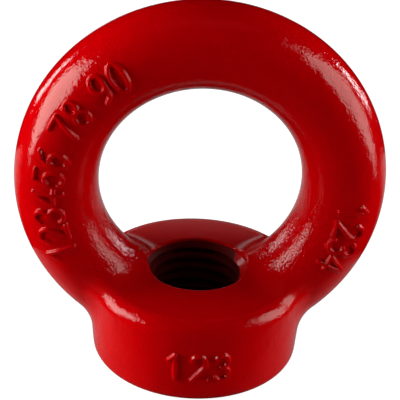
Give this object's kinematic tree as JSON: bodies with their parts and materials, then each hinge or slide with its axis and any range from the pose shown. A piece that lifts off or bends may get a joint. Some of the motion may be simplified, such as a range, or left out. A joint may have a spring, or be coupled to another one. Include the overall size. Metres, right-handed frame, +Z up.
{
  "type": "lifting eye nut",
  "caption": "Forged lifting eye nut: an upright oval-bar ring on a round collar with a flat base and a metric threaded through hole.",
  "frame": {"origin": "centre of the flat base face, on the axis of the threaded hole", "axes": "+Z up along the threaded hole, from the base face to the crown of the ring; +X across the ring, in its plane; +Y through the eye, along the ring's own axis"},
  "size_m": [0.1084, 0.0656, 0.1116],
  "materials": {
    "red_paint": "thick gloss red paint over forged steel, with a soft orange-peel texture",
    "bare_thread": "dark oiled steel thread, lightly oversprayed with red at its mouths"
  },
  "bodies": {
    "root": {"eye_nut": "red_paint"}
  },
  "joints": []
}
